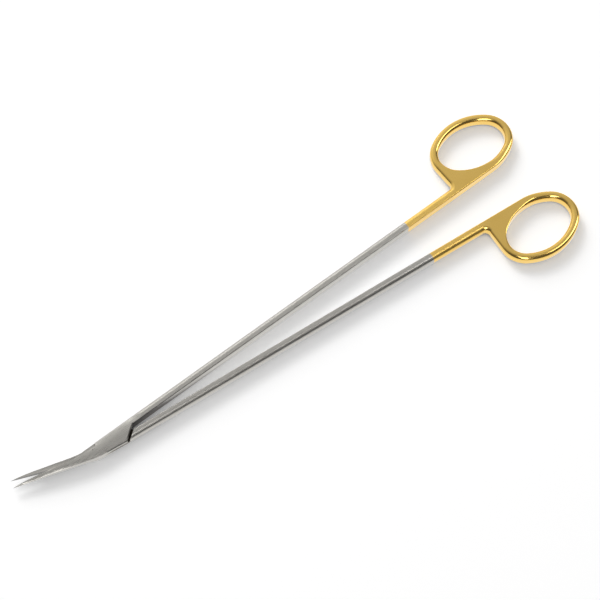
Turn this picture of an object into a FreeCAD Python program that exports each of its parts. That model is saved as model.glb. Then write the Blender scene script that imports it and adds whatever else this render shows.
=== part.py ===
import FreeCAD, Part
import math
import os
from FreeCAD import Vector

# Angled vascular scissors of hardened steel, lying flat on a table, slightly open.
# Millimetres and degrees. Origin on the pivot axis at the table's surface, +Z up.
# +X runs along the closed scissors from the pivot to the finger rings.
# The blades run the other way and bend towards +Y.
# Each half is shaped closed, with its own shank on the +Y side, its outer face up
# and its lap face at z = 0. The lower half is then turned over about the X axis,
# and both are turned to their rest angle and lifted onto the table.

# Whole scissors
ring_distance = 183.2        # pivot to the centre of a finger ring, along X, closed
blade_reach = 29.8           # pivot to the tips, along X, closed
thickness = 4.3              # of shanks, webs and rings
closed_gap = 0.3             # between the inner faces of the two shanks, closed
rest_opening = 5.0           # between the halves at rest

# Finger rings, ovals of four arcs
opening_length = 27.6
opening_width = 18.4
opening_end_radius = 7.0
ring_band = 3.15             # width of the ring's metal seen from above
ring_tilt = 6.1              # the rings' long axes lean in towards the middle line
ring_edge_radius = 1.3
web_hole_radius = 0.45       # edge of the opening along the flat web
web_corner_radius = 1.8      # inside corner between shank and ring
crisp_edge_from = 209.0      # the crisp stretch of the opening's edge, turned
crisp_edge_to = 264.0        # from the ring's long axis
crisp_edge_run = 45.0        # over which it becomes round again, towards the ring's end
crisp_edge_fade = 27.0       # and towards the middle line

# Shanks
shank_at_joint = 2.85        # width
shank_at_web = 3.3
shank_edge_radius = 1.7      # outer side, worn round by polishing
inner_edge_radius = 0.4
joint_end = 20.0             # where joint and shank meet, along X

# Joint
lap_clearance = 0.04         # between the two sliding lap faces
step_inner = 16.6            # where the slanted step meets the shanks' gap, along X
step_outer = 11.6            # its outer corner, along X
step_half_width = 3.9        # how far that corner stands from the middle line
shoulder_clearance = 0.06    # step to shoulder, closed
cross_side_angle = 6.4       # the joint widens from the bend to the step
joint_crown_reach = 6.5      # half width of the ellipse that crowns the joint
bend_start = 3.5             # from the pivot towards the tips, along X
crown_stations = (7.0, 14.0)    # where the crown is shaped, along X
crown_sink = 0.02            # below the shank's face
crown_own_reach = 1.6        # flatness of the crown on the shank's side
foot_reach = 1.01            # just past the side, which it leaves at the lap
crown_fade = 2.0             # past the joint's end, where the crown has left the shank
crown_fade_rise = 0.1
edge_break = 0.32            # chamfer along the step and the side next to it
edge_break_end = 4.0         # where the side's chamfer ends, along X
bend_inside_radius = 30.0
bend_outside_radius = 40.0

# Blades
blade_angle = 14.0           # middle line of a blade to the X axis
steep_side_angle = 17.5      # straight side: upper spine and lower cutting edge
shallow_side_angle = 11.3    # the other side, which curves into the tip
tip_rise = 6.85              # how far the upper tip stands to the +Y side
tip_curve_rise = 0.6         # the shallow side's straight stretch passes the tip by this
tip_curve_length = 7.9
spine_overhang = 0.15        # each back stands out past the other blade's cutting edge
tip_height = 0.5             # of one blade over the lap
back_shares = (-0.03, 0.27, 0.5, 0.75)     # of its length, where the back is shaped
back_reach = 2.2             # flatness of the round-ground back, in half widths
bevel_angle = 62.0
bevel_run_out = 8.0          # length over which the bevel fades towards the joint
hollow_radius = 4.0          # of the grinding wheel that hollows the inner faces
hollow_depth = 0.16          # at the bend, fading towards the tip
hollow_start = 3.0           # from the tip

# Cutting inserts, brazed into rebates along the cutting edges
insert_height = 0.35
insert_length = 24.0
insert_width_heel = 1.05
insert_width_tip = 0.25

# Joint screw, its head under the lower half
screw_diameter = 2.4
head_diameter = 3.8
head_height = 1.05
head_sink = 0.12             # below the face of the lower half
running_clearance = 0.03     # round the screw in the lower half
thread_clearance = 0.01      # round the screw in the upper half
slot_width = 0.5
slot_depth = 0.5
stake_offset = 0.82          # centre-punch mark that locks the screw's end
stake_diameter = 0.5
stake_point = 0.1
stake_depth = 0.15

half_thickness = thickness/2
inner_face = closed_gap/2
spare = 1.0                  # how far cutters stand out past what they cut
bevel_spare = 4.0            # and the bevel's and the rebate's cutters
half_span = 12.0             # more than joint or blades reach from the middle line
same = 0.01                  # two points this close are one
up = Vector(0, 0, 1)


# Plane geometry

def heading(degrees):
    turn = math.radians(degrees)
    return Vector(math.cos(turn), math.sin(turn), 0)


def crossing(a, a_direction, b, b_direction):
    """Where two lines in the plan cross."""
    between = b-a
    span = a_direction.cross(b_direction).z
    return a + a_direction*(between.cross(b_direction).z/span)


def segment(a, b):
    return Part.LineSegment(a, b).toShape()


def arc(a, middle, b):
    return Part.Arc(a, middle, b).toShape()


def wire(edges):
    return Part.Wire(Part.__sortEdges__(edges))


def polygon(points):
    return Part.makePolygon(points + points[:1])


def path(start, corner, radius, end):
    """Two straight runs joined by a tangent arc."""
    back = (start-corner).normalize()
    ahead = (end-corner).normalize()
    half = back.getAngle(ahead)/2
    reach = radius/math.tan(half)
    inward = (back+ahead).normalize()
    middle = corner + inward*(radius/math.sin(half)-radius)
    first = corner + back*reach
    last = corner + ahead*reach
    return [segment(start, first), arc(first, middle, last), segment(last, end)]


def slab(outline, low, high):
    solid = Part.Face(outline).extrude(Vector(0, 0, high-low))
    solid.translate(Vector(0, 0, low))
    return solid


# Finger ring: an oval of two end arcs and two side arcs

ring_along = heading(-ring_tilt)
ring_across = heading(90-ring_tilt)
opening_oval = (opening_length/2, opening_width/2, opening_end_radius)
outer_oval = tuple(size+ring_band for size in opening_oval)


def side_radius(oval):
    length, width, end = oval
    return (length**2 + width**2 - 2*length*end)/(2*(width-end))


def joint_turn(oval):
    """Turn from the long axis at which an end arc meets a side arc."""
    length, width, end = oval
    return math.degrees(math.atan2(side_radius(oval)-width, length-end))


def oval_point(oval, turn):
    """Where an oval faces the direction at this turn, from its centre."""
    length, width, end = oval
    direction = ring_along*math.cos(math.radians(turn)) + ring_across*math.sin(math.radians(turn))
    limit = joint_turn(oval)
    turn = turn % 360
    if turn <= limit or turn >= 360-limit:
        return ring_along*(length-end) + direction*end
    if abs(turn-180) <= limit:
        return ring_along*(end-length) + direction*end
    radius = side_radius(oval)
    return ring_across*((width-radius)*(1 if turn < 180 else -1)) + direction*radius


def oval_edges(oval, centre, start, end, stops=()):
    """The arcs of an oval from one turn to a larger one, parted at the stops."""
    limit = joint_turn(oval)
    turns = {start, end}
    for turn in list(stops) + [limit, 180-limit, 180+limit, 360-limit]:
        for whole in (-360, 0, 360):
            if start < turn+whole < end:
                turns.add(turn+whole)
    turns = sorted(turns)
    return [arc(centre+oval_point(oval, a), centre+oval_point(oval, (a+b)/2),
                centre+oval_point(oval, b)) for a, b in zip(turns, turns[1:])]


down_turn = ring_tilt - 90
left_turn = ring_tilt + 180
ring_centre = Vector(ring_distance, inner_face-oval_point(outer_oval, down_turn).y, 0)
ring_low = ring_centre + oval_point(outer_oval, down_turn)
ring_left = ring_centre + oval_point(outer_oval, left_turn)


# Outer side of joint and shank: one straight line

shank_start = Vector(joint_end, inner_face+shank_at_joint, 0)
web_corner = Vector(ring_left.x, inner_face+shank_at_web, 0)
shank_direction = (web_corner-shank_start).normalize()


def shank_side(x):
    return shank_start + shank_direction*((x-joint_end)/shank_direction.x)


def make_grip(front):
    """Shank, flat web and finger ring, from x = front outwards, edges rounded."""
    side = path(shank_side(front), web_corner, web_corner_radius, ring_left)
    low_front = Vector(front, inner_face, 0)
    outline = wire(side + oval_edges(outer_oval, ring_centre, down_turn, left_turn)
                   + [segment(ring_low, low_front), segment(low_front, shank_side(front))])
    stops = (crisp_edge_from-crisp_edge_run, crisp_edge_from,
             crisp_edge_to, crisp_edge_to+crisp_edge_fade)
    opening = wire(oval_edges(opening_oval, ring_centre, 0, 360, stops))
    plate = Part.Face(outline).cut(Part.Face(opening))
    solid = plate.extrude(Vector(0, 0, thickness))
    solid.translate(Vector(0, 0, -half_thickness))
    crisp = [ring_centre+oval_point(opening_oval, turn) for turn in
             (crisp_edge_from, 180+joint_turn(opening_oval), crisp_edge_to)]
    corner_start = side[0].valueAt(side[0].LastParameter)

    def radius_at(point):
        flat = Vector(point.x, point.y, 0)
        if any(flat.distanceToPoint(one) < same for one in crisp):
            return web_hole_radius
        if flat.x < front+same and abs(point.y-inner_face) > same:
            return shank_edge_radius
        if abs(flat.y-inner_face) < same:
            return inner_edge_radius
        if flat.distanceToPoint(corner_start) < same:
            return shank_edge_radius
        return ring_edge_radius

    return rounded(solid, radius_at, front)


def rounded(solid, radius_at, front):
    """Round the edges of the grip's two faces, but not across its front end."""
    doc = FreeCAD.newDocument("rounding")
    plain = doc.addObject("Part::Feature", "plain")
    plain.Shape = solid
    fillet = doc.addObject("Part::Fillet", "fillet")
    fillet.Base = plain
    chosen = []
    for number, one in enumerate(plain.Shape.Edges, 1):
        ends = [one.valueAt(one.FirstParameter), one.valueAt(one.LastParameter)]
        upright = abs(ends[0].z-ends[1].z) > same
        across_front = max(ends[0].x, ends[1].x) < front+same
        if not upright and not across_front:
            chosen.append((number, radius_at(ends[0]), radius_at(ends[1])))
    fillet.Edges = chosen
    doc.recompute()
    result = fillet.Shape.copy()
    FreeCAD.closeDocument("rounding")
    if result.isNull() or len(result.Faces) <= len(solid.Faces):
        raise RuntimeError("an edge could not be rounded")
    return result


# Joint and blade of one half: outline in the plan

class Blade:
    """Lines and directions of one half's blade; bend is 1 towards its own side."""

    def __init__(self, bend):
        self.bend = bend
        overhang = 0 if bend > 0 else spine_overhang
        self.tip = Vector(-blade_reach, bend*(tip_rise+overhang), 0)
        self.along = heading(-bend*blade_angle)
        self.across = heading(90-bend*blade_angle)
        self.steep = heading(-bend*steep_side_angle)
        self.shallow = heading(-bend*shallow_side_angle)
        self.shallow_start = self.tip + Vector(0, bend*tip_curve_rise, 0)
        sides = [(self.shallow_start, self.shallow), (self.tip, self.steep)]
        self.edge_side, self.spine_side = sides if bend > 0 else sides[::-1]
        self.step_corner = Vector(step_outer, -step_half_width, 0)
        self.own_corner = crossing(shank_start, shank_direction, *self.edge_side)
        self.far_corner = crossing(self.step_corner, heading(180-cross_side_angle),
                                   *self.spine_side)
        self.own_radius = bend_inside_radius if bend > 0 else bend_outside_radius
        self.far_radius = bend_outside_radius if bend > 0 else bend_inside_radius
        turn = shank_direction.getAngle(self.edge_side[1])
        self.front = self.own_corner.x + self.own_radius*math.tan(turn/2) + spare/2
        self.tip_curve()

    def tip_curve(self):
        """The arc that brings the shallow side down to the tip."""
        foot = self.shallow_start + self.shallow*(self.tip-self.shallow_start).dot(self.shallow)
        drop = self.tip-foot
        radius = (tip_curve_length**2 + drop.Length**2)/(2*drop.Length)
        self.curve_end = foot + self.shallow*tip_curve_length
        self.curve_centre = self.curve_end + drop.normalize()*radius
        self.curve_radius = radius

    def curve(self, inset=0.0):
        """The tip's arc, moved inwards by an inset: its two ends and its edge."""
        radius = self.curve_radius-inset
        ends = [self.curve_centre + (point-self.curve_centre).normalize()*radius
                for point in (self.tip, self.curve_end)]
        towards = (ends[0]-self.curve_centre)+(ends[1]-self.curve_centre)
        middle = self.curve_centre + towards.normalize()*radius
        return ends, arc(ends[0], middle, ends[1])

    def point(self, along, across, height=0.0):
        return self.tip + self.along*along + self.across*across + up*height

    def side_at(self, side, station, direction):
        """Where a side crosses the line through a station in some direction."""
        return crossing(side[0], side[1], station, direction)


def front_outline(blade):
    """Joint and blade of one half; the shank's strip reaches in from the right."""
    own_end = shank_side(blade.front)
    own_start = blade.curve_end if blade.bend > 0 else blade.tip
    far_end = blade.tip if blade.bend > 0 else blade.curve_end
    own = path(own_start, blade.own_corner, blade.own_radius, own_end)
    far = path(blade.step_corner, blade.far_corner, blade.far_radius, far_end)
    inset = own_end - Vector(0, shank_edge_radius+inner_edge_radius/2, 0)
    inner = Vector(step_inner, inset.y, 0)
    step_top = Vector(step_inner, inner_face, 0)
    return wire(own + far + [blade.curve()[1], segment(own_end, inset), segment(inset, inner),
                             segment(inner, step_top), segment(step_top, blade.step_corner)])


# Outer face: crowned joint running into the blade's round-ground back

def back_section(centre, across, own_reach, far_reach, height):
    """Half an ellipse over a flat foot, its two sides of their own reach."""
    own = centre + across*own_reach
    far = centre - across*far_reach
    top = centre + up*height
    shoulder = math.sqrt(0.5)
    own_shoulder = centre + across*(own_reach*shoulder) + up*(height*shoulder)
    far_shoulder = centre - across*(far_reach*shoulder) + up*(height*shoulder)
    curve = Part.BSplineCurve()
    rise = up*(height*math.pi)
    curve.interpolate(Points=[own, own_shoulder, top, far_shoulder, far],
                      Parameters=[0, 0.25, 0.5, 0.75, 1], Scale=False,
                      InitialTangent=rise, FinalTangent=rise*-1)
    foot = up*-spare
    return Part.Wire([curve.toShape(), segment(far, far+foot), segment(far+foot, own+foot),
                      segment(own+foot, own)])


def blade_height(share):
    """Height of the back along the blade: thin at the tip, full at the bend."""
    return tip_height + (half_thickness-tip_height)*(1-(1-share)**2)


def ground_back(solid, blade):
    length = (blade_reach-bend_start)/blade.along.x
    sections = []
    for share in back_shares:
        station = blade.point(share*length, 0)
        own = blade.side_at(blade.edge_side, station, blade.across)
        far = blade.side_at(blade.spine_side, station, blade.across)
        reach = (own-far).Length/2*back_reach
        sections.append(back_section((own+far)/2, blade.across, reach, reach,
                                     blade_height(max(share, 0))))
    sideways = Vector(0, 1, 0)
    heel_far = blade.side_at(blade.spine_side, Vector(-bend_start, 0, 0), sideways)
    heel_own = shank_side(-bend_start)
    stations = [-bend_start] + [x for x in crown_stations if x > blade.front+spare]
    if blade.bend < 0:
        stations.insert(1, blade.front)
    for x in stations:
        own = shank_side(x)
        share = min((x+bend_start)/(2*bend_start), 1)
        centre = Vector(x, (heel_own.y+heel_far.y)/2*(1-share), 0)
        own_reach = own.y-centre.y
        own_reach *= foot_reach if x < blade.front+same else crown_own_reach
        far_reach = (heel_own.y-heel_far.y)/2*back_reach*(1-share) + joint_crown_reach*share
        sections.append(back_section(centre, sideways, own_reach, far_reach,
                                     half_thickness-crown_sink))
    last = Vector(joint_end+crown_fade, 0, 0)
    sections.append(back_section(last, sideways, joint_crown_reach, joint_crown_reach,
                                 half_thickness+crown_fade_rise))
    kept = Part.makeLoft(sections, True, False)
    low = Vector(-blade_reach-spare, -half_span, 0)
    zone = Part.makeBox(last.x-spare/2-low.x, 2*half_span, thickness, low)
    return solid.cut(zone.cut(kept))


def cutting_bevel(solid, blade):
    """Grind the bevel that leaves the cutting edge as high as its insert."""
    rise = half_thickness
    reach = rise/math.tan(math.radians(bevel_angle))
    start = blade.tip if blade.bend < 0 else blade.curve_end
    direction = blade.edge_side[1]
    inward = Vector(direction.y, -direction.x, 0)
    bevel_end = start + direction*(insert_length-(start-blade.tip).Length)
    run_end = bevel_end + direction*bevel_run_out
    rings = []
    for height, inset, end_inset in ((insert_height, 0, 0), (insert_height+rise, reach, -spare/2)):
        line = [start+inward*inset, bevel_end+inward*inset, run_end+inward*end_inset]
        if blade.bend > 0:
            ends, curve = blade.curve(inset)
            outwards = (blade.tip-blade.curve_centre).normalize()
            first = ends[0] - Vector(outwards.y, -outwards.x, 0)*spare
            edges = [segment(first, ends[0]), curve]
        else:
            first = start + inward*inset - direction*spare
            edges = [segment(first, line[0])]
        outer = [line[2]-inward*bevel_spare, first-inward*bevel_spare]
        edges += [segment(a, b) for a, b in zip(line+outer, line[1:]+outer+[first])]
        ring = Part.Wire(edges)
        ring.translate(up*height)
        rings.append(ring)
    return solid.cut(Part.makeLoft(rings, True, True))


def insert_space(blade):
    """The rebate for the cutting insert, along the cutting edge at the lap face."""
    heel = blade.point(insert_length, 0)
    heel_edge = blade.side_at(blade.edge_side, heel, blade.across)
    toe = blade.point(-spare, 0)
    corners = [toe-blade.across*insert_width_tip, heel_edge-blade.across*insert_width_heel,
               heel_edge+blade.across*bevel_spare, toe+blade.across*bevel_spare]
    return slab(polygon(corners), -spare, insert_height)


def lap_space():
    """What is milled away so that the other half can cross: all beyond its step."""
    corner = Vector(step_outer, step_half_width, 0)
    top = Vector(step_inner, -inner_face, 0)
    along_step = (top-corner).normalize()
    away = Vector(-along_step.y, along_step.x, 0)*shoulder_clearance
    low = top + away + along_step*half_span*2
    high = corner + away - along_step*half_span*2
    left = -blade_reach-half_span
    corners = [low, high, Vector(left, high.y, 0), Vector(left, low.y, 0)]
    return slab(polygon(corners), -thickness, lap_clearance/2)


def edge_cutter(a, b):
    """A chamfer of 45 degrees along an upper outer edge from a to b, solid on its right."""
    along = (b-a).normalize()
    outward = along.cross(up).normalize()
    face_up = outward.cross(along)
    a = a-along*spare/2
    depth = edge_break/math.sqrt(2)
    diagonal = (outward+face_up).normalize()
    slide = (outward-face_up).normalize()
    base = a-diagonal*depth
    slide *= 2*spare
    profile = polygon([base-slide, base+slide, base+slide+diagonal*2*spare,
                       base-slide+diagonal*2*spare])
    return Part.Face(profile).extrude(b-a+along*spare/2)


def crown_height(y):
    return (half_thickness-crown_sink)*math.sqrt(1-(y/joint_crown_reach)**2)


def make_half(bend):
    """One half and its cutting insert, closed, own shank on +Y, outer face up."""
    blade = Blade(bend)
    front = slab(front_outline(blade), -half_thickness, half_thickness)
    whole = make_grip(blade.front).fuse(front)
    whole = ground_back(whole, blade)
    whole = cutting_bevel(whole, blade)
    whole = whole.cut(lap_space())
    corner = blade.step_corner
    top = Vector(step_inner, inner_face, 0)
    side_end = crossing(corner, heading(180-cross_side_angle),
                        Vector(edge_break_end, 0, 0), Vector(0, 1, 0))
    corner_high = corner + up*crown_height(corner.y)
    top_high = top + up*half_thickness
    side_high = side_end + up*crown_height(side_end.y)
    whole = whole.cut(edge_cutter(corner_high, top_high))
    whole = whole.cut(edge_cutter(side_high, corner_high))
    space = insert_space(blade)
    insert = whole.common(space)
    whole = whole.cut(space)
    whole = whole.cut(hollow_grind(blade))
    return whole, insert


def hollow_grind(blade):
    """The shallow hollow of a blade's inner face, between its spine and its insert."""
    heel = blade.point(insert_length+spare*2, 0)
    heel_own = blade.side_at(blade.edge_side, heel, blade.across) - blade.across*insert_width_heel
    heel_far = blade.side_at(blade.spine_side, heel, blade.across)
    toe = blade.point(hollow_start, 0)
    toe_own = toe - blade.across*insert_width_tip
    toe_far = blade.side_at(blade.spine_side, toe, blade.across)
    low = up*(lap_clearance/2-hollow_radius)
    start = (toe_own+toe_far)*0.5 + low
    end = (heel_own+heel_far)*0.5 + low + up*hollow_depth
    return Part.makeCylinder(hollow_radius, (end-start).Length, start, end-start)


# Screw and its holes, in the closed scissors

def rod(diameter, low, high):
    return Part.makeCylinder(diameter/2, high-low, Vector(0, 0, low))


screw_low = -half_thickness + head_sink
head_top = screw_low + head_height


def make_screw():
    """The screw, its end ground off together with the joint's crown."""
    head = rod(head_diameter, screw_low, head_top)
    screw = head.fuse(rod(screw_diameter, screw_low, half_thickness)).removeSplitter()
    screw = ground_back(screw, Blade(1))
    slot = Part.makeBox(head_diameter*2, slot_width, slot_depth,
                        Vector(-head_diameter, -slot_width/2, screw_low))
    stake = Part.makeCone(stake_diameter/2, stake_point/2, stake_depth,
                          Vector(0, stake_offset, half_thickness), Vector(0, 0, -1))
    return screw.cut(slot).cut(stake)


def screw_hole_lower():
    shaft = rod(screw_diameter+2*running_clearance, -thickness, thickness)
    seat = rod(head_diameter+2*running_clearance, -thickness, head_top+lap_clearance/2)
    return shaft.fuse(seat)


def screw_hole_upper():
    return rod(screw_diameter+2*thread_clearance, -thickness, thickness)


def turned_over(shape):
    shape.rotate(Vector(0, 0, 0), Vector(1, 0, 0), 180)
    return shape


def lay_down(shape, turn):
    """Turn a closed half to its rest angle and lift it onto the table."""
    shape.rotate(Vector(0, 0, 0), Vector(0, 0, 1), turn)
    shape.translate(Vector(0, 0, half_thickness))
    return shape


os.makedirs("parts", exist_ok=True)
upper_half, upper_insert = make_half(1)
lower_half, lower_insert = [turned_over(shape) for shape in make_half(-1)]
upper_half = upper_half.cut(screw_hole_upper())
lower_half = lower_half.cut(screw_hole_lower())
pieces = {
    "upper_half": lay_down(upper_half, rest_opening/2),
    "upper_cutting_insert": lay_down(upper_insert, rest_opening/2),
    "joint_screw": lay_down(make_screw(), rest_opening/2),
    "lower_half": lay_down(lower_half, -rest_opening/2),
    "lower_cutting_insert": lay_down(lower_insert, -rest_opening/2),
}
for name, shape in pieces.items():
    box = shape.optimalBoundingBox(False)
    print(name, len(shape.Solids), "solid", round(shape.Volume, 2), "mm3, valid", shape.isValid(),
          [round(v, 2) for v in (box.XMin, box.XMax, box.YMin, box.YMax, box.ZMin, box.ZMax)])
    shape.exportStep("parts/" + name + ".step")
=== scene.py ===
import math
import bmesh
import bpy
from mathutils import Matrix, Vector

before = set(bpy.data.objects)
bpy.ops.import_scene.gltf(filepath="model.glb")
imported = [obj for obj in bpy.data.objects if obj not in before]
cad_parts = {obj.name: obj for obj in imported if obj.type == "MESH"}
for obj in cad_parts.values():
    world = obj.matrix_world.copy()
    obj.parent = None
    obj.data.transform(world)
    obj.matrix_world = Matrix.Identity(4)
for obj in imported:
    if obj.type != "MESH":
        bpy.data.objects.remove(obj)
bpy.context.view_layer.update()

# Camera
# The scissors are seen from above and in front, lying askew in the picture.
# The numbers give the photograph's angle, distance and field of view.
look_at = Vector((0.0934, 0.0072, 0.0))
camera_height_angle = math.radians(66.69)
camera_turn = math.radians(-35.16)
camera_distance = 0.610
field_of_view = math.radians(20.45)
camera_data = bpy.data.cameras.new("camera")
camera_data.angle = field_of_view
camera = bpy.data.objects.new("camera", camera_data)
bpy.context.scene.collection.objects.link(camera)
backwards = Vector((math.sin(camera_turn)*math.cos(camera_height_angle),
                    -math.cos(camera_turn)*math.cos(camera_height_angle),
                    math.sin(camera_height_angle)))
camera.location = look_at + camera_distance*backwards
camera.rotation_euler = (math.pi/2-camera_height_angle, 0, camera_turn)
bpy.context.scene.camera = camera

# Table
# A plain white table top, a hair below the scissors, so no two faces coincide.
# Metal mirrors it evenly white; the lift and the mirrored white fade to a painted shade where
# the scissors close it in.
bpy.context.scene.view_settings.view_transform = "Standard"
table_size = 6.0
table_gap = 0.00002
table_grey = 0.88
camera_lift = 0.42              # brings the matt white up to the photo's background
mirrored_strength = 1.05
crevice_reach = 0.006
crevice_closed = 0.10           # openness at which the lift and the mirrored white end
crevice_open = 0.42             # and from which they are whole
bm = bmesh.new()
bmesh.ops.create_grid(bm, x_segments=1, y_segments=1, size=table_size/2)
bmesh.ops.translate(bm, verts=bm.verts, vec=(0, 0, -table_gap))
table_mesh = bpy.data.meshes.new("table")
bm.to_mesh(table_mesh)
bm.free()
table = bpy.data.objects.new("table", table_mesh)
bpy.context.scene.collection.objects.link(table)

table_paint = bpy.data.materials.new("white_table")
table_paint.use_nodes = True
nodes = table_paint.node_tree.nodes
links = table_paint.node_tree.links
nodes.clear()
output = nodes.new("ShaderNodeOutputMaterial")
matt = nodes.new("ShaderNodeBsdfDiffuse")
matt.inputs["Color"].default_value = (table_grey, table_grey, table_grey, 1)
lift = nodes.new("ShaderNodeEmission")
lift.inputs["Color"].default_value = (1, 1, 1, 1)
path = nodes.new("ShaderNodeLightPath")
# Ambient occlusion paints shade into the lift and the mirrored white.
crevice = nodes.new("ShaderNodeAmbientOcclusion")
crevice.inputs["Distance"].default_value = crevice_reach
open_share = nodes.new("ShaderNodeMapRange")
open_share.inputs["From Min"].default_value = crevice_closed
open_share.inputs["From Max"].default_value = crevice_open
links.new(crevice.outputs["AO"], open_share.inputs["Value"])
seen = nodes.new("ShaderNodeMath")
seen.operation = "MULTIPLY"
seen.inputs[1].default_value = camera_lift
links.new(path.outputs["Is Camera Ray"], seen.inputs[0])
lit = nodes.new("ShaderNodeMath")
lit.operation = "MULTIPLY"
links.new(seen.outputs[0], lit.inputs[0])
links.new(open_share.outputs[0], lit.inputs[1])
links.new(lit.outputs[0], lift.inputs["Strength"])
lifted = nodes.new("ShaderNodeAddShader")
links.new(matt.outputs[0], lifted.inputs[0])
links.new(lift.outputs[0], lifted.inputs[1])
mirrored_table = nodes.new("ShaderNodeEmission")
mirrored_table.inputs["Strength"].default_value = mirrored_strength
links.new(open_share.outputs[0], mirrored_table.inputs["Color"])
total = nodes.new("ShaderNodeMixShader")
links.new(path.outputs["Is Glossy Ray"], total.inputs["Fac"])
links.new(lifted.outputs[0], total.inputs[1])
links.new(mirrored_table.outputs[0], total.inputs[2])
links.new(total.outputs[0], output.inputs["Surface"])
table_mesh.materials.append(table_paint)

# Room and lamps
# The room is bright low down behind the scissors to the left and dim elsewhere.
# On that side stand a wide soft lamp, which casts the shadow and isn't mirrored,
# and a small one in its middle, which is.
bright_turn = camera_turn + math.radians(28)
bright_height = math.radians(22)
sky_levels = ((0.0, 0.12), (0.5, 0.10), (0.67, 0.15), (0.84, 0.72), (0.93, 0.78), (1.0, 0.90))
lamp_height = math.radians(31)
light_distance = 3.0


def toward_turn(turn, height):
    """Direction from the scissors, turned from +Y and raised from the table."""
    return Vector((-math.sin(turn)*math.cos(height), math.cos(turn)*math.cos(height),
                   math.sin(height)))


def area_light(name, shape, width, watts, toward):
    """A flat light that faces the scissors from a direction."""
    data = bpy.data.lights.new(name, "AREA")
    data.shape = shape
    data.size = width
    data.energy = watts
    light = bpy.data.objects.new(name, data)
    bpy.context.scene.collection.objects.link(light)
    light.location = look_at + light_distance*toward
    light.rotation_euler = toward.to_track_quat("Z", "Y").to_euler()
    return light


room = bpy.data.worlds.new("room")
bpy.context.scene.world = room
room.use_nodes = True
nodes = room.node_tree.nodes
links = room.node_tree.links
direction = nodes.new("ShaderNodeTexCoord")
aim = nodes.new("ShaderNodeVectorMath")
aim.operation = "DOT_PRODUCT"
aim.inputs[1].default_value = toward_turn(bright_turn, bright_height)
links.new(direction.outputs["Generated"], aim.inputs[0])
spread = nodes.new("ShaderNodeMapRange")
spread.inputs["From Min"].default_value = -1.0
spread.inputs["From Max"].default_value = 1.0
links.new(aim.outputs["Value"], spread.inputs["Value"])
shade = nodes.new("ShaderNodeValToRGB")
shade.color_ramp.interpolation = "B_SPLINE"
stops = shade.color_ramp.elements
for position, _ in sky_levels[1:-1]:
    stops.new(position)
for stop, (_, level) in zip(stops, sky_levels):
    stop.color = (level, level, level, 1)
links.new(spread.outputs[0], shade.inputs["Fac"])
links.new(shade.outputs["Color"], nodes["Background"].inputs["Color"])

toward_lamp = toward_turn(bright_turn, lamp_height)
soft_lamp = area_light("soft_lamp", "DISK", 1.8, 48.0, toward_lamp)
soft_lamp.visible_glossy = False
area_light("lamp_middle", "DISK", 0.56, 14.0, toward_lamp)

# Window panels
# Two tall pale panels stand over the scissors for the polished rings to mirror.
# They light nothing else.
panel_height = 2.7
picture_right = Vector((math.cos(camera_turn), math.sin(camera_turn), 0))
picture_down = Vector((math.sin(camera_turn), -math.cos(camera_turn), 0))
for name, rightwards, downwards, width, watts in (("panel_front", 0.10, 0.69, 1.0, 30.0),
                                                  ("panel_right", 0.92, -0.30, 0.8, 26.0)):
    toward = Vector((0, 0, 1)) + rightwards*picture_right + downwards*picture_down
    panel = area_light(name, "RECTANGLE", width, watts, toward.normalized())
    panel.data.size_y = panel_height
    panel.visible_diffuse = False

# The two halves
# Each is one forging of hardened stainless steel, satin ground along its length.
# The handle end is gold plated from a sharp line on the shank outwards, and the
# finger rings are polished bright under the gold.
rest_angle = math.radians(2.5)
steel_dark = (0.47, 0.455, 0.42, 1)
steel_light = (0.53, 0.515, 0.48, 1)
gold_dark = (0.87, 0.57, 0.14, 1)
gold_light = (0.93, 0.63, 0.18, 1)
painted_shade_brown = (0.03, 0.024, 0.018, 1)
middle_noise = (0.3, 0.7)           # the range that nearly all of a noise lies in
grain_stretch = (60, 1500, 1500)    # along a half, and across it
grain_scale = 4.0
grain_strength = 0.25
grain_depth = 0.00001
satin_roughness = (0.25, 0.34)
cloud_scale = 160.0
cloud_detail = 3.0
plating_start = 0.1425              # from the pivot
plating_blur = 0.00015
plating_waver = 0.0002
ring_centre = Vector((0.1826, 0.0206, 0.0))
polish_from = 0.0225                # from a ring's centre
polish_full = 0.0185
polish_smoother = 0.17
polished_grain = 0.2                # share of the grain that polishing leaves
step_centre = (0.017, 0.0, 0.0)
step_from = 0.017                   # where the painted shade begins to deepen round the step
step_full = 0.007
step_shade_depth = 0.3
nook_samples = 8
nook_fade = 0.2


def math_node(tree, operation, first, second):
    """One step of arithmetic on sockets or numbers."""
    node = tree.nodes.new("ShaderNodeMath")
    node.operation = operation
    for socket, value in zip(node.inputs, (first, second)):
        if isinstance(value, (int, float)):
            socket.default_value = value
        else:
            tree.links.new(value, socket)
    return node.outputs[0]


def ranged(tree, value, low, high, to_low=0.0, to_high=1.0):
    """A value taken from one range to another, clamped at both ends."""
    node = tree.nodes.new("ShaderNodeMapRange")
    node.inputs["From Min"].default_value = low
    node.inputs["From Max"].default_value = high
    node.inputs["To Min"].default_value = to_low
    node.inputs["To Max"].default_value = to_high
    tree.links.new(value, node.inputs["Value"])
    return node.outputs[0]


def mixed(tree, factor, first, second):
    """A mix of two colours, each a socket or a constant."""
    node = tree.nodes.new("ShaderNodeMix")
    node.data_type = "RGBA"
    tree.links.new(factor, node.inputs["Factor"])
    for socket, value in ((node.inputs["A"], first), (node.inputs["B"], second)):
        if isinstance(value, tuple):
            socket.default_value = value
        else:
            tree.links.new(value, socket)
    return node.outputs["Result"]


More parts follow.
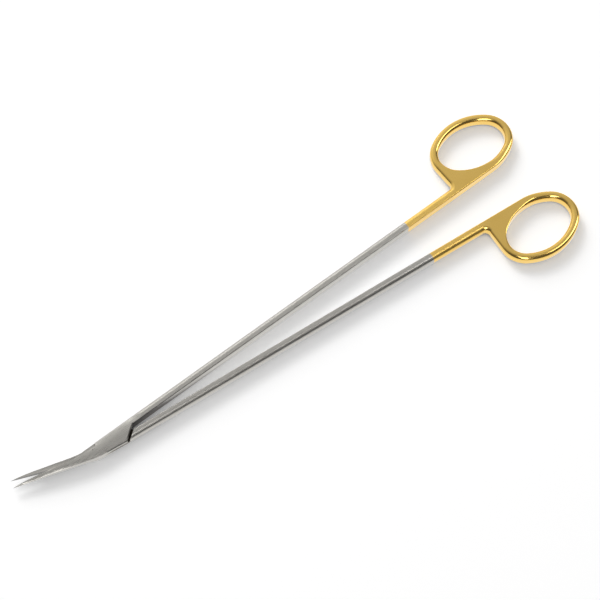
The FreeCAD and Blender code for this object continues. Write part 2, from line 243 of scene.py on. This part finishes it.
def noise(tree, coordinates, turn, stretch, scale, detail=2.0):
    """Noise drawn out along a half's length, in the half's own direction."""
    mapping = tree.nodes.new("ShaderNodeMapping")
    mapping.inputs["Rotation"].default_value = (0, 0, -turn)
    mapping.inputs["Scale"].default_value = stretch
    tree.links.new(coordinates, mapping.inputs["Vector"])
    node = tree.nodes.new("ShaderNodeTexNoise")
    node.inputs["Scale"].default_value = scale
    node.inputs["Detail"].default_value = detail
    tree.links.new(mapping.outputs["Vector"], node.inputs["Vector"])
    return node.outputs["Fac"]


def distance_from(tree, coordinates, centre):
    """Distance in the plan from an upright line through centre."""
    offset = tree.nodes.new("ShaderNodeVectorMath")
    offset.operation = "SUBTRACT"
    offset.inputs[1].default_value = centre
    tree.links.new(coordinates, offset.inputs[0])
    flat = tree.nodes.new("ShaderNodeVectorMath")
    flat.operation = "MULTIPLY"
    flat.inputs[1].default_value = (1, 1, 0)
    tree.links.new(offset.outputs[0], flat.inputs[0])
    reach = tree.nodes.new("ShaderNodeVectorMath")
    reach.operation = "LENGTH"
    tree.links.new(flat.outputs[0], reach.inputs[0])
    return reach.outputs["Value"]


def clean_metal(tree, place, cloud):
    """Colour of steel, then of gold from a slightly wavering line outwards."""
    waver = ranged(tree, cloud, *middle_noise, -plating_waver, plating_waver)
    from_pivot = math_node(tree, "ADD", distance_from(tree, place, (0, 0, 0)), waver)
    plated = ranged(tree, from_pivot, plating_start-plating_blur, plating_start+plating_blur)
    return mixed(tree, plated, mixed(tree, cloud, steel_dark, steel_light),
                 mixed(tree, cloud, gold_dark, gold_light))


def painted_shade_share(tree, place, nook_reach, nook_open):
    """How dark the painted shade is in a nook, from ambient occlusion, most by the step."""
    nook = tree.nodes.new("ShaderNodeAmbientOcclusion")
    nook.samples = nook_samples
    nook.inputs["Distance"].default_value = nook_reach
    near_step_shade = ranged(tree, distance_from(tree, place, step_centre), step_from, step_full,
                      0.0, step_shade_depth)
    hidden = math_node(tree, "SUBTRACT", nook.outputs["AO"], near_step_shade)
    return ranged(tree, hidden, nook_open, nook_open-nook_fade)


def half_finish(name, side, nook_reach, nook_open):
    """The metal of a half; side is 1 for the half whose ring stands at +Y."""
    material = bpy.data.materials.new(name)
    material.use_nodes = True
    tree = material.node_tree
    shader = tree.nodes["Principled BSDF"]
    shader.inputs["Metallic"].default_value = 1.0
    place = tree.nodes.new("ShaderNodeTexCoord").outputs["Object"]
    turn = side*rest_angle
    grain = noise(tree, place, turn, grain_stretch, grain_scale)
    cloud = noise(tree, place, turn, (1, 1, 1), cloud_scale, cloud_detail)
    # The base colour darkens to a painted shade in nooks found by ambient occlusion.
    colour = mixed(tree, painted_shade_share(tree, place, nook_reach, nook_open),
                   clean_metal(tree, place, cloud), painted_shade_brown)
    tree.links.new(colour, shader.inputs["Base Color"])

    centre = (ring_centre.x, side*ring_centre.y, 0)
    ring = ranged(tree, distance_from(tree, place, centre), polish_from, polish_full)
    satin = ranged(tree, grain, *middle_noise, *satin_roughness)
    rough = math_node(tree, "ADD", satin, math_node(tree, "MULTIPLY", ring, -polish_smoother))
    tree.links.new(rough, shader.inputs["Roughness"])
    bump = tree.nodes.new("ShaderNodeBump")
    bump.inputs["Strength"].default_value = grain_strength
    bump.inputs["Distance"].default_value = grain_depth
    grain_left = ranged(tree, ring, 0.0, 1.0, 1.0, polished_grain)
    tree.links.new(math_node(tree, "MULTIPLY", grain, grain_left), bump.inputs["Height"])
    tree.links.new(bump.outputs[0], shader.inputs["Normal"])
    return material


def dress(name, material):
    """Give a piece of the source its one material."""
    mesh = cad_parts[name].data
    mesh.materials.clear()
    mesh.materials.append(material)


half_nook_reach = 0.006
half_nook_open = 0.43
for name, side in (("upper_half", 1), ("lower_half", -1)):
    dress(name, half_finish(name + "_satin_steel_and_gold", side,
                            half_nook_reach, half_nook_open))

# Cutting inserts
# Strips of tungsten carbide, brazed along the cutting edges and ground fine.
# It is darker and smoother than the steel, and too fine ground to show a grain.
carbide_dark = (0.36, 0.355, 0.34, 1)
carbide_light = (0.42, 0.415, 0.40, 1)
carbide_roughness = (0.22, 0.30)
carbide_scale = 9000.0
carbide = bpy.data.materials.new("ground_carbide")
carbide.use_nodes = True
tree = carbide.node_tree
shader = tree.nodes["Principled BSDF"]
shader.inputs["Metallic"].default_value = 1.0
place = tree.nodes.new("ShaderNodeTexCoord").outputs["Object"]
fine = noise(tree, place, 0.0, (1, 1, 1), carbide_scale)
tree.links.new(mixed(tree, fine, carbide_dark, carbide_light), shader.inputs["Base Color"])
tree.links.new(ranged(tree, fine, *middle_noise, *carbide_roughness),
               shader.inputs["Roughness"])
for name in ("upper_cutting_insert", "lower_cutting_insert"):
    dress(name, carbide)

# Joint screw
# A steel screw, its slotted head sunk in the underside and its end ground off
# flush with the joint, then locked with a punch mark.
# The screw gets the same painted shade in its nooks, with a short reach.
screw_nook_reach = 0.0006
screw_nook_open = 0.85
dress("joint_screw", half_finish("screw_satin_steel", 1, screw_nook_reach, screw_nook_open))
